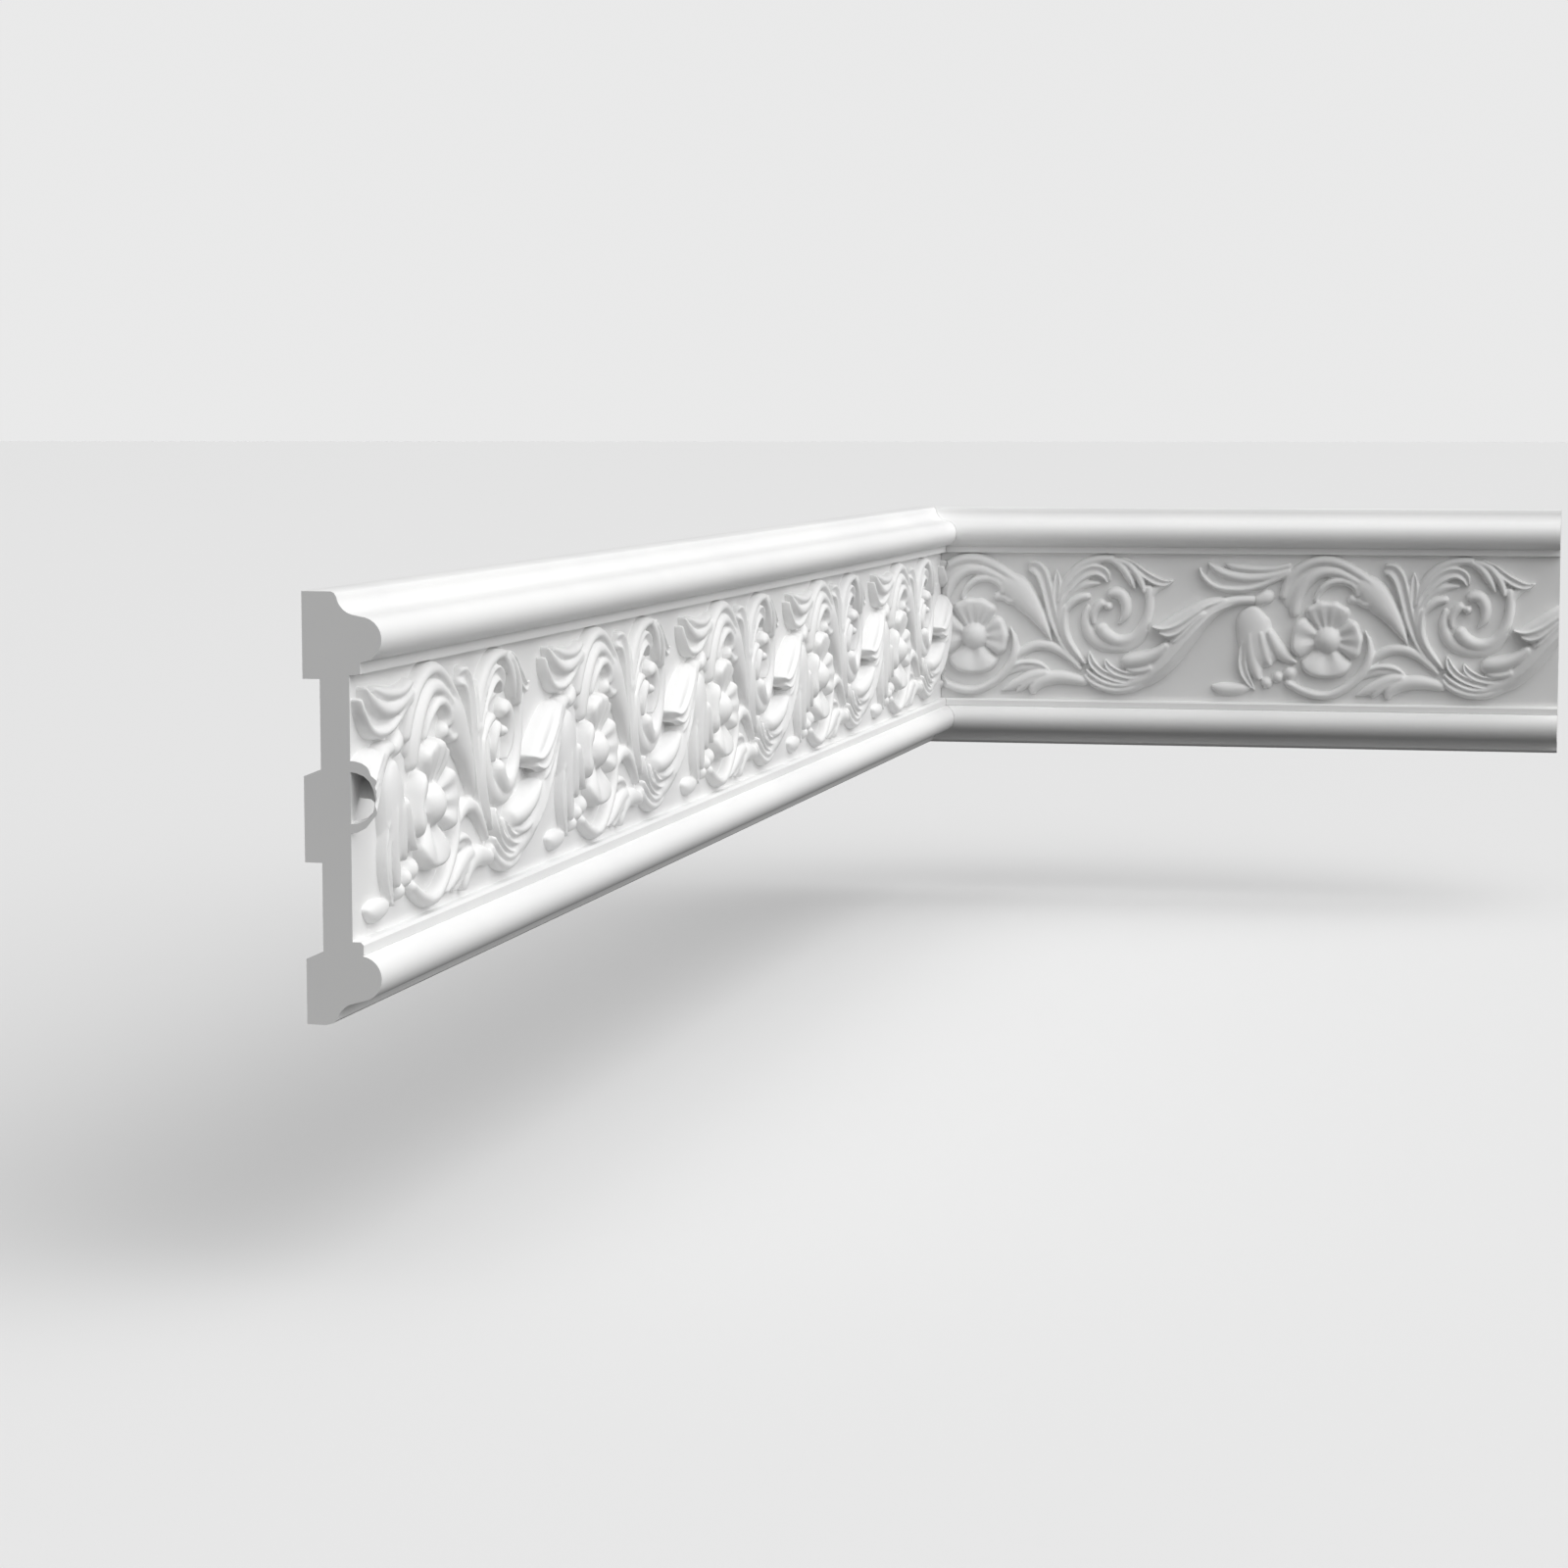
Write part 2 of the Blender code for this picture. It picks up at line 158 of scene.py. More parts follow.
def section_mesh():
    """The filled outline, from the bottom of the back round the front to the back again."""
    mesh = bmesh.new()
    for depth, up in ((0.0, 0.0), (6.2, 0.0), (8.4, 0.6)):
        add_corner(mesh, depth, up)
    add_arc(mesh, *LOW_COVE, 168, 107)
    add_arc(mesh, *LOW_BEAD, -80, 82)
    for depth, up in ((FILLET_DEPTH, 22.4), (FILLET_DEPTH, 25.3), (17.9, FIELD_BOTTOM),
                      (FIELD_DEPTH, FIELD_BOTTOM), (FIELD_DEPTH, FIELD_TOP),
                      (FILLET_DEPTH, 109.6), (FILLET_DEPTH, 113.1)):
        add_corner(mesh, depth, up)
    add_arc(mesh, *HIGH_BEAD, -68, 88)
    add_arc(mesh, *HIGH_COVE, 262, 190)
    for depth, up in ((10.6, 134.5), (9.6, height), (0.0, height), (0.0, HIGH_PAD_BOTTOM),
                      (RECESS_DEPTH, HIGH_PAD_BOTTOM),
                      (RECESS_DEPTH, MIDDLE_PAD[1] + RECESS_FLANK), (0.0, MIDDLE_PAD[1]),
                      (0.0, MIDDLE_PAD[0]), (RECESS_DEPTH, MIDDLE_PAD[0]),
                      (RECESS_DEPTH, LOW_PAD_TOP + RECESS_FLANK), (0.0, LOW_PAD_TOP)):
        add_corner(mesh, depth, up)
    mesh.verts.ensure_lookup_table()
    mesh.edges.new((mesh.verts[-1], mesh.verts[0]))
    bmesh.ops.contextual_create(mesh, geom=mesh.edges)
    return mesh


def new_object(name, mesh):
    bmesh.ops.recalc_face_normals(mesh, faces=mesh.faces)
    data = bpy.data.meshes.new(name)
    mesh.to_mesh(data)
    mesh.free()
    thing = bpy.data.objects.new(name, data)
    bpy.context.scene.collection.objects.link(thing)
    return thing


def extruded_section(name, start, end):
    """The section drawn out along the strip from start to end, in metres."""
    mesh = section_mesh()
    bmesh.ops.translate(mesh, verts=mesh.verts, vec=(start, 0.0, 0.0))
    moved = bmesh.ops.extrude_face_region(mesh, geom=list(mesh.faces))
    verts = [item for item in moved["geom"] if isinstance(item, bmesh.types.BMVert)]
    bmesh.ops.translate(mesh, verts=verts, vec=(end - start, 0.0, 0.0))
    return new_object(name, mesh)


trial = section_mesh()
print("section:", len(trial.verts), "corners,",
      round(sum(face.calc_area() for face in trial.faces) * 1e6), "square mm")
trial.free()

# %% [markdown]
# ## One leaf
#
# A cast leaf has a clear outline, a rounded or a grooved top, and sides that fall
# steeply to the band. It could be sculpted by hand, but the same leaf comes back at
# every repeat, so it is described by a few numbers instead: a path, the half width and
# the crest height along it, and a section across it. A flat grid is bent along the path,
# its top follows the section, and the grid is then extruded down into the band, which
# closes the form.

# %% Curves through a few stations
# The ridge's share of a rolled top, and a gutter's rim and dip as shares of its size
ROLL_RIDGE = 0.2
GUTTER_RIM = 0.68
GUTTER_DIP = 0.34


def smooth_value(stations, place):
    """The smooth curve through evenly spaced stations, place from 0 to 1."""
    knots = [Vector(station) for station in stations]
    knots.insert(0, 2 * knots[0] - knots[1])
    knots.append(2 * knots[-1] - knots[-2])
    reach = place * (len(knots) - 3)
    span = min(int(reach), len(knots) - 4)
    t = reach - span
    a, b, c, d = knots[span:span + 4]
    return 0.5 * (2 * b + (c - a) * t + (2 * a - 5 * b + 4 * c - d) * t * t
                  + (3 * b - a - 3 * c + d) * t * t * t)


def number_along(numbers, place):
    """The same for plain numbers instead of points."""
    return smooth_value([(number, 0.0) for number in numbers], place)[0]


def path_length(path, pieces=40):
    """Length of the curve, measured as a chain of short straight pieces."""
    points = [smooth_value(path, step / pieces) for step in range(pieces + 1)]
    return sum((b - a).length for a, b in zip(points, points[1:]))


def roll(t):
    """Share of the crest across a rounded leaf with a faint ridge, t from -1 to 1."""
    round_top = math.sqrt(max(1.0 - abs(t) ** 4.0, 0.0))
    return ROLL_RIDGE * (1.0 - abs(t) ** 1.5) + (1.0 - ROLL_RIDGE) * round_top


def gutter(t):
    """The same for a leaf with two raised rims and a valley between them."""
    if abs(t) > GUTTER_RIM:
        return math.sqrt(max(1.0 - ((abs(t) - GUTTER_RIM) / (1.0 - GUTTER_RIM)) ** 2, 0.0))
    return 1.0 - GUTTER_DIP * math.cos(t / GUTTER_RIM * math.pi / 2) ** 2


print("leaf top at the middle:", roll(0.0), "and in a gutter:", round(gutter(0.0), 2))


# %% A closed leaf from a grid
# In millimetres: how far a leaf's sides run on below the band's face, how deep in the
# band its underside lies, and the grid's step along it
EDGE_SINK = 1.2
BED = 3.0
SEGMENT = 1.3
STEPS_ACROSS = 10
FEWEST_STEPS = 6
# How strongly the rows gather at the leaf's ends, the least width left there as a share,
# and how far along the path the direction is measured
END_GATHER = 0.7
END_WIDTH = 0.02
GLANCE = 0.01


def close_below(mesh, grid_verts, bed=BED):
    """Extrude a shaped grid down into the band, so that it becomes a closed form."""
    faces = list({face for vert in grid_verts for face in vert.link_faces})
    under = bmesh.ops.extrude_face_region(mesh, geom=faces)
    for item in under["geom"]:
        if isinstance(item, bmesh.types.BMVert):
            item.co.y = -(FIELD_DEPTH - bed) * MM
    shell = {face for vert in grid_verts for face in vert.link_faces}
    shell |= {item for item in under["geom"] if isinstance(item, bmesh.types.BMFace)}
    bmesh.ops.recalc_face_normals(mesh, faces=list(shell))


def leaf_row(path, half_widths, crests, length, place):
    """Middle, side direction, half width and crest of the leaf at one row of its grid."""
    along = place - END_GATHER * math.sin(2 * math.pi * place) / (2 * math.pi)
    along = min(max(along, 0.0), 1.0)
    after = smooth_value(path, min(along + GLANCE, 1.0))
    before = smooth_value(path, max(along - GLANCE, 0.0))
    direction = (after - before).normalized()
    end_gap = min(along, 1.0 - along) * length
    end_radius = half_widths[0] if along < 0.5 else half_widths[-1]
    close = max(1.0 - end_gap / end_radius, 0.0)
    taper = math.sqrt(max(1.0 - close * close, END_WIDTH * END_WIDTH))
    return (smooth_value(path, along), Vector((-direction.y, direction.x)),
            number_along(half_widths, along) * taper, number_along(crests, along) * taper)


def add_leaf(mesh, path, half_widths, crests, section, bed=BED):
    """Bend a grid along the path and raise it by the section."""
    length = path_length(path)
    steps = max(FEWEST_STEPS, round(length / SEGMENT))
    grid = bmesh.ops.create_grid(mesh, x_segments=steps, y_segments=STEPS_ACROSS, size=1.0)
    rows = {}
    for vert in grid["verts"]:
        key = round(vert.co.x, 5)
        if key not in rows:
            rows[key] = leaf_row(path, half_widths, crests, length, vert.co.x / 2 + 0.5)
        middle, side, half, crest = rows[key]
        t = math.sin(vert.co.y * math.pi / 2)
        point = middle + side * half * t
        rise = (crest + EDGE_SINK) * section(t) - EDGE_SINK
        vert.co = strip_point(point.x, FIELD_DEPTH + rise, point.y)
    close_below(mesh, grid["verts"], bed)


print("grid segment along a leaf:", SEGMENT, "mm")

# %% [markdown]
# ## The leaves of one repeat
#
# The scroll repeats every 200 mm. One repeat is a leafy stem that arches over a rosette,
# divides into a club and a spiral of leaves, and runs on as the great stem under the
# next bell flower. Every leaf is one entry here: its path across and up in millimetres
# from the rosette and the moulding's bottom, its half widths and its crest heights.

# %% Arching leaf, crescent and bell flower
arching_leaf = [
    ("crescent", [(21, 67.5), (23.8, 60), (23, 50), (17.5, 41), (8.5, 34), (-1.5, 30.7),
                  (-12.5, 33), (-23.5, 38.5)], (.4, 2.6, 2.8, 2.8, 2.4), (3, 4.4, 4.4, 4.4, 3.7),
     roll),
    ("sheet", [(-21.5, 79), (-19.5, 88), (-14.5, 95.5), (-6.5, 101.5), (1, 102.8), (10, 100),
               (19, 94.5), (26, 88)], (4.5, 5, 5, 5, 7), (1.8, 2.4, 2.7, 2.8, 3), roll),
    ("outer rib", [(-25.5, 84), (-22.5, 93), (-17, 100.5), (-9, 105), (0, 106.2), (9, 103.8),
                   (18, 98.5), (27, 92)], (2.2, 3, 3.2, 3.2, 2.7), (3.3, 4.6, 5, 5, 4.9), roll),
    ("middle rib", [(-18.5, 74), (-17.5, 83), (-14, 91), (-8.5, 97), (-2, 100), (6, 99.5),
                    (14, 96), (22, 91)], (3.2, 3.6, 3.6, 3.2, 2.6), (3.3, 4.6, 4.9, 4.9, 4.8),
     roll),
    ("inner rib", [(-7.5, 83), (-3.5, 90), (2.5, 94.3), (9.5, 94.8), (14.5, 92.5), (16.8, 89),
                   (16, 85.5)], (1.4, 2.4, 2.6, 2.6, 2.6), (3, 4.4, 4.6, 4.6, 4), roll),
    ("tapering body", [(14, 95), (23, 90), (30, 82.5), (36, 75), (41, 67), (44.8, 59.5)],
     (4.5, 8.4, 7.8, 5.4, 3.2, .4), (4.6, 5.3, 5.1, 4.8, 4.1, 2.9), roll),
    ("hook", [(14.5, 84.5), (18, 84), (21, 82), (25, 84)], (3, 2.4, 2.8, 3.2), (4, 3.2, 4.2, 4.9),
     roll),
]
bell_flower = [
    ("curled rim", [(-71.7, 102), (-69, 96.5), (-63, 91.6), (-55, 89.7), (-45, 89.9), (-36, 92.5),
                    (-26, 97), (-18, 99.5)], (.8, 1.6, 2, 2.2, 2.2, 2.2, 2),
     (3.8, 4.6, 4.6, 4.4, 4.2, 4, 3.8), roll),
    ("curled sheet", [(-67, 100.5), (-60, 95.6), (-52, 93.2), (-43, 93.8), (-34, 96.5), (-24, 99)],
     (3, 4, 4.2, 4, 3.6, 3), (1, 1.8, 2.4, 2.9, 3.2, 3.2), roll),
    ("curled low leaf", [(-66.8, 105), (-62, 101), (-55, 97.8), (-46, 96.2), (-37, 96.4),
                         (-28, 98.2), (-19, 100.5)], (.6, 2.5, 3.1, 3.2, 3, 2.6, 2.2),
     (3.6, 4.9, 5.1, 4.9, 4.6, 4.2, 3.8), roll),
    ("curled top leaf", [(-57, 104), (-50, 102), (-40, 101), (-30, 101.2), (-20, 103.8)],
     (1.2, 2.6, 2.6, 2.4, 1.8), (3.3, 4.4, 4.4, 4, 3.6), roll),
    ("collar", [(-41, 82.6), (-36, 84.6), (-30, 88.2)], (3.2, 4, 5.6), (4.3, 4.4, 4.2), roll),
    ("bell", [(-40.3, 81), (-41.4, 74), (-40.6, 66), (-38.2, 58), (-35.2, 51), (-33, 46)],
     (2.5, 9.2, 10.6, 11.2, 11.4, 8), (3.6, 5, 5.3, 4.9, 4.2, 3), roll),
    ("bell petal 1", [(-45.8, 62), (-47.2, 53), (-46.6, 45), (-43.6, 38.5), (-39.8, 33)],
     (1.6, 2.6, 2.8, 2.2, .3), (4.2, 4, 3.7, 3.3, 2.6), gutter),
    ("bell petal 2", [(-43, 68), (-42.6, 58), (-41.2, 50), (-39, 43.5), (-37.4, 38.8)],
     (2.5, 3.8, 4.2, 3.6, 1.4), (5.5, 5.3, 4.8, 4.4, 3.8), roll),
    ("bell petal 3", [(-37.2, 68), (-35.4, 58.5), (-33.4, 51.5), (-31, 46.8)],
     (2.6, 3.6, 3.6, 1.4), (5.9, 5.5, 4.9, 4.1), roll),
    ("bell petal 4", [(-33, 68), (-29, 59.5), (-24, 53.2), (-16.4, 48.8)], (2.6, 4.2, 4.2, .8),
     (5.5, 5.3, 4.5, 3), roll),
    ("low lobe", [(-64.5, 35.2), (-60, 34), (-54, 33.6), (-47, 34), (-42, 34.5)],
     (.8, 3.4, 4, 3.2, 1), (1.6, 3.2, 3.4, 2.9, 1.6), roll),
]
print(len(arching_leaf) + len(bell_flower), "leaves over the rosette and its bell")

# %% Club, spiral and its leaves
spiral = [
    ("club", [(30.8, 101.4), (35.8, 101), (39.4, 96.6), (41.6, 90), (43.8, 81), (46.8, 70),
              (52.5, 57.5), (62, 46)], (3.2, 4.4, 4.3, 3.9, 3.5, 3.2, 2.8, 1.8),
     (3, 3.9, 4.1, 4.1, 3.9, 3.7, 3.2, 2.6), gutter),
    ("pointed leaf", [(47.4, 100.2), (47.8, 95), (47.6, 88), (47, 80)], (.3, 2.1, 2.6, 1.8),
     (2.5, 3.5, 3.7, 4), gutter),
    ("stem sheet", [(50.6, 85), (49.8, 76), (50.8, 67), (54.8, 57.5), (61.5, 48.5)],
     (2.6, 3.3, 3.3, 2.8, 2), (3.7, 3.8, 3.8, 3.6, 3.2), roll),
    ("stem rim", [(53.5, 80), (52, 73.5), (52.3, 66), (55, 59), (59.5, 52.5), (64.8, 46)],
     (1.8, 2.3, 2.4, 2.2, 1.8, .9), (4.5, 4.6, 4.6, 4.4, 4, 3.3), roll),
    ("scroll back", [(50.6, 80), (51.2, 88), (54.8, 96), (62, 102.8), (71, 106), (81, 106.5)],
     (1.6, 2.4, 3, 3, 2.6, 2), (3.6, 3.7, 3.8, 4, 4.4, 4.5), roll),
    ("upper leaf", [(50, 80), (53, 87), (58, 93.5), (64, 98.4), (70.5, 100), (75.3, 97.6),
                    (77.4, 92.5)], (1.6, 2.4, 3.2, 3.7, 3.6, 3.2, 1),
     (4.1, 4.4, 4.5, 4.6, 4.6, 4.5, 3.3), gutter),
    ("mid leaf", [(50, 79), (53.5, 84.5), (58.5, 89.2), (65, 92), (73, 92.6)],
     (1.2, 2, 2.6, 2.6, 1), (4, 3.7, 3.4, 3.2, 2.4), roll),
    ("short leaf", [(52, 76), (56, 80.8), (61, 84.2), (67, 85.4)], (1.8, 2.5, 2.7, 2.4),
     (4.2, 4.4, 4.5, 4.4), roll),
    ("volute", [(72, 70), (75, 64.4), (80, 60.8), (86.5, 60), (92.8, 63), (97.3, 69.5),
                (99.8, 77), (100.3, 85), (99.6, 92)], (3.6, 4.2, 3.8, 3.4, 3, 2.8, 2.6),
     (4.8, 4.8, 4.3, 3.7, 3.3, 3.2, 3.2, 3.3, 3.4), roll),
    ("volute flank", [(65.5, 80.5), (63.8, 73), (65.5, 65), (70.5, 59.3), (78, 56.8), (86, 56.8),
                      (94, 60.5), (99, 67)], (1.5, 3.2, 3.8, 3.8, 3.4, 2),
     (1.9, 2.5, 2.7, 2.7, 2.6, 2.2), roll),
    ("inner crescent", [(77, 84.6), (80, 87.2), (84.4, 86), (87, 80.5), (86.2, 74), (82.4, 69)],
     (2.4, 3.5, 3.9, 3.5, 2.7, .5), (4.1, 4.5, 4.5, 4.3, 3.9, 2.9), roll),
    ("inner leaf", [(69, 69), (68.6, 74.6), (71.2, 79.6), (75.4, 82.6)], (.8, 2.3, 2.9, 2.8),
     (2.9, 3.6, 3.9, 4.1), roll),
    ("top rib", [(74, 106), (80.5, 104.8), (85.6, 100.8), (89.4, 95), (92.4, 89)],
     (1.4, 2.2, 2.7, 2.4, .5), (4, 4.4, 4.8, 4.5, 3.4), roll),
    ("second rib", [(80, 106.4), (87.5, 103.8), (92.6, 98.8), (95.8, 93), (97.4, 86.8)],
     (1.4, 2.1, 2.5, 2.3, .8), (4, 4.5, 4.9, 4.6, 3.7), roll),
    ("long tip", [(84, 106.5), (91, 103.2), (97, 98.4), (102.5, 94.8), (108.5, 92.8),
                  (114, 94.4)], (1.4, 2, 2.5, 2.8, 2.2, .3), (4, 4.4, 4.2, 3.8, 3.2, 2.4),
     gutter),
    ("tip web", [(101, 84), (102.5, 88), (106, 90.5), (112, 92)], (1.2, 2.6, 2, .3),
     (2.9, 2.6, 2.4, 2), roll),
]
print(len(spiral), "leaves in the spiral")

# %% Low leaves and the great stem
great_stem = [
    ("lobe one", [(66.4, 54), (68, 48), (72, 43.3), (79, 39.5), (88, 37.5), (97, 38.5)],
     (.5, 2.3, 2.5, 2.4, 2.2, 1.6), (3.9, 4.9, 4.9, 4.8, 4.5, 4.5), gutter),
    ("lobe two", [(75.4, 49.6), (77.8, 45.3), (83, 42), (90, 40.3), (98, 41)],
     (.6, 2.2, 2.4, 2.2, 1.6), (3.9, 4.9, 4.9, 4.8, 4.6), gutter),
    ("low rib", [(63.5, 41), (67, 37), (73, 33.8), (81, 32), (90, 33), (99, 37)],
     (1.2, 2, 2.2, 2.4, 2.6, 2.4), (3.7, 4.1, 4.3, 4.3, 4.4, 4.6), roll),
    ("second low rib", [(64.5, 43.8), (69, 39.8), (76, 36), (85, 34.6), (95, 37)],
     (1.2, 1.7, 1.9, 1.9, 1.8), (4, 4.6, 4.6, 4.6, 4.7), roll),
    ("lobe three", [(84.6, 47.2), (88.6, 48.4), (93, 49.2), (99, 50.6), (106, 54), (112, 60)],
     (3, 4.6, 5, 4.8, 4, 2), (4.6, 6.4, 7.2, 7.4, 7.6, 7.8), roll),
    ("lobe three fold", [(87.5, 44.4), (92, 43.2), (98, 43.6), (104, 46)],
     (1.2, 2.2, 2.6, 2.6), (4.4, 5.4, 6.2, 6.8), roll),
    ("stem body", [(86, 35.5), (97, 38.5), (105, 43.5), (111.5, 50), (117, 57), (122.5, 64),
                   (129, 71.5), (138, 79), (149, 83.3), (161.5, 84)],
     (3.4, 5.2, 5.8, 6.2, 6.2, 5.6, 4.6, 3.4, 2.6), (4.2, 5.2, 6.6, 7.6, 8, 8, 7.8, 7, 5.4, 3.6),
     roll),
    ("finger sheet", [(106.5, 66.4), (112, 65.6), (119, 67.8), (126.5, 73.2), (134, 79)],
     (2, 3.8, 4.6, 4.4, 3), (7, 7.6, 8, 8, 7.4), roll),
    ("first finger", [(102, 68.4), (109, 67.2), (117, 69.6), (125.5, 75.2), (134, 80.8),
                      (145, 84.4)], (.8, 1.8, 2.2, 2.2, 2, 1.4), (7.6, 8.5, 8.8, 8.7, 7.8, 5.6),
     roll),
    ("second finger", [(106.2, 64.8), (111.6, 63.4), (117.6, 65.4), (124.6, 71.2), (132, 77.6)],
     (.8, 1.8, 2, 1.8, 1.3), (7.6, 8.5, 8.8, 8.7, 8.2), roll),
    ("third finger", [(113.8, 59), (116.5, 61), (121, 65), (127, 71.3), (133.5, 77)],
     (1.3, 2.1, 2.1, 1.7, 1.2), (7.4, 8.3, 8.7, 8.7, 8.2), roll),
    ("stem rib", [(105, 42.5), (111, 48), (117, 55), (122.5, 61.6), (129, 69.2), (137, 76.7),
                  (148, 81.7)], (1.4, 2, 2.2, 2.2, 1.9, 1.3), (6.8, 8, 8.6, 8.9, 8.5, 7.4, 5.4),
     roll),
    ("upper arc", [(20, 44), (26.6, 51.8), (34.5, 56.4), (42, 57), (49, 54.4), (56, 49),
                   (62, 43)], (.8, 2.8, 3.3, 3.3, 3, 2.2, 1.4), (2.1, 3, 3.3, 3.5, 3.4, 3.1, 2.7),
     roll),
    ("lower arc", [(17.5, 38.5), (21, 43.5), (27, 46.8), (34, 47.2), (39, 45.8), (43.5, 43)],
     (.8, 1.6, 1.9, 1.9, .6), (2.2, 3, 3.2, 3.2, 2.6), roll),
    ("arc sheet", [(19, 40.5), (27, 44), (36, 44.5), (43, 42)], (1.5, 2.6, 2.6, 1.6),
     (1.8, 2.1, 2.2, 2.5), roll),
    ("low leaf", [(16, 30.6), (22, 33.6), (29, 37), (36, 40), (44, 41.4)],
     (.6, 2.8, 3.8, 3.8, 2.4), (2.2, 3.3, 3.7, 3.8, 3.8), roll),
    ("low tip", [(24.6, 29.8), (27.6, 32.6), (32, 35.8), (38, 38.4)], (.7, 2, 2.3, 1.8),
     (2.4, 3.3, 3.7, 3.8), roll),
    ("wide leaf", [(33.6, 28.8), (35.2, 33.4), (40.5, 37.2), (49, 38.8), (58, 38), (66, 36)],
     (1.5, 3.5, 4.3, 4.3, 3.7, 2.8), (3.2, 4, 4.2, 4.2, 4, 3.6), roll),
    ("stem skirt", [(104.5, 67.5), (110, 69.2), (117, 72.6), (125, 77.2), (133, 81.2), (143, 84)],
     (1.6, 3, 4, 4.2, 3.6, 2.4), (6.2, 6.8, 6.8, 6.6, 6, 4.6), roll),
]
print(len(great_stem), "leaves around the great stem")

# %% [markdown]
# ## The rosette
#
# The rosette has four broad petals that open from a round button. Their outer rims roll
# over, and shallow grooves run out from the button. A petal is again a grid, but bent
# round the rosette's centre: one side runs outwards and the other swings from one split
# between the petals to the next. The button and the berries are round domes, each a grid
# too, drawn out to a circle, so that everything is closed below in the same way.

# %% Petals and domes
ROSETTE_UP = 61.3
PETAL_ROOT = 4.5
ROWS_OUT = 16
ROWS_ROUND = 26
# As shares of a petal's reach: where its rim starts to fall, how far its corners draw in
# and how deep its edge is waved
RIM = 0.86
CORNER_DRAW = 0.13
EDGE_WAVE = 0.03
# What is left of a groove's depth on the rim, as a share
GROOVE_ON_RIM = 0.3
# For each petal: middle angle and half spread in degrees, reach, root height, rim height,
# number of grooves and their depth
PETALS = (
    (88.3, 42.5, 23.0, 2.0, 5.8, 3, 1.2),
    (172.3, 42.5, 20.8, 1.8, 5.9, 1, 1.4),
    (268.2, 53.0, 21.8, 2.2, 5.7, 1, 1.5),
    (4.3, 42.5, 20.4, 1.4, 6.0, 2, 1.3),
)


def petal_height(share, wave, root_rise, rim_rise, groove_depth):
    """Height of a petal over the band, at a share of the way from its root to its edge."""
    if share < RIM:
        climb = math.sin(share / RIM * math.pi / 2) ** 1.5
        groove = groove_depth * wave * (1.0 - (1.0 - GROOVE_ON_RIM) * (share / RIM) ** 3)
        return root_rise + (rim_rise - root_rise) * climb - groove
    fall = (share - RIM) / (1.0 - RIM)
    top = rim_rise - GROOVE_ON_RIM * groove_depth * wave
    return (top + EDGE_SINK) * math.sqrt(max(1.0 - fall * fall, 0.0)) - EDGE_SINK


def add_petal(mesh, middle, spread, reach, root_rise, rim_rise, grooves, groove_depth):
    """Bend a grid round the rosette's centre, outwards along x and from split to split."""
    grid = bmesh.ops.create_grid(mesh, x_segments=ROWS_OUT, y_segments=ROWS_ROUND, size=1.0)
    for vert in grid["verts"]:
        out = vert.co.x / 2 + 0.5
        swing = vert.co.y
        wave = 0.5 - 0.5 * math.cos((swing * (grooves + 1) / 2 + grooves % 2 / 2) * 2 * math.pi)
        edge = reach * (1.0 - CORNER_DRAW * swing ** 4 - EDGE_WAVE * wave)
        share = math.sin(out * math.pi / 2)
        radius = PETAL_ROOT + (edge - PETAL_ROOT) * share
        angle = math.radians(middle + spread * swing)
        rise = petal_height(share, wave, root_rise, rim_rise, groove_depth)
        rise = (rise + EDGE_SINK) * (1.0 - abs(swing) ** 6) ** 0.5 - EDGE_SINK
        up = ROSETTE_UP + radius * math.sin(angle)
        vert.co = strip_point(radius * math.cos(angle), FIELD_DEPTH + rise, up)
    close_below(mesh, grid["verts"])


def add_dome(mesh, across, up, radius, crest, steps):
    """Draw a square grid out to a circle and raise it to a dome."""
    grid = bmesh.ops.create_grid(mesh, x_segments=steps, y_segments=steps, size=1.0)
    for vert in grid["verts"]:
        reach = max(abs(vert.co.x), abs(vert.co.y)) * math.pi / 2
        angle = math.atan2(vert.co.y, vert.co.x)
        spread = radius * math.sin(reach)
        rise = (crest + EDGE_SINK) * math.cos(reach) - EDGE_SINK
        vert.co = strip_point(across + spread * math.cos(angle), FIELD_DEPTH + rise,
                              up + spread * math.sin(angle))
    close_below(mesh, grid["verts"])


# For each dome: its place across and up, radius, crest and the steps of its grid
BUTTON = (0.4, ROSETTE_UP + 0.7, 8.0, 7.0, 18)
BALL = (14.0, 84.8, 3.4, 3.8, 8)
BERRIES = ((-33.4, 37.4, 3.6, 3.9, 8), (-27.2, 40.8, 3.7, 4.2, 8), (-20.4, 42.8, 4.6, 4.1, 8))
SCROLL_EYE = (77.2, 79.6, 2.8, 5.0, 8)
domes = (BUTTON, BALL, *BERRIES, SCROLL_EYE)
print(len(PETALS), "petals and", len(domes), "domes")

# %% [markdown]
# ## One repeat as one casting
#
# On the real moulding the leaves flow into one another, with soft hollows where they
# meet, because they are cast in one. Some sixty separate forms that cross each other would
# show hard seams. A voxel remesh takes the outer skin of all of them together, a little
# smoothing softens the seams, and a decimate then takes out the points that a flat or
# gentle place doesn't need. The great stem's fingers stand free of the band at their
# tips, so a shallow pit is cut under them. The leaf is hollow farther on as well, which
# shows only where the saw goes through it, so that hollow is cut in a copy of its own.

# %% Unite the forms of one repeat
VOXEL = 0.0005
SOFTENING = 0.5
RELIEF_TRIANGLES = 34000
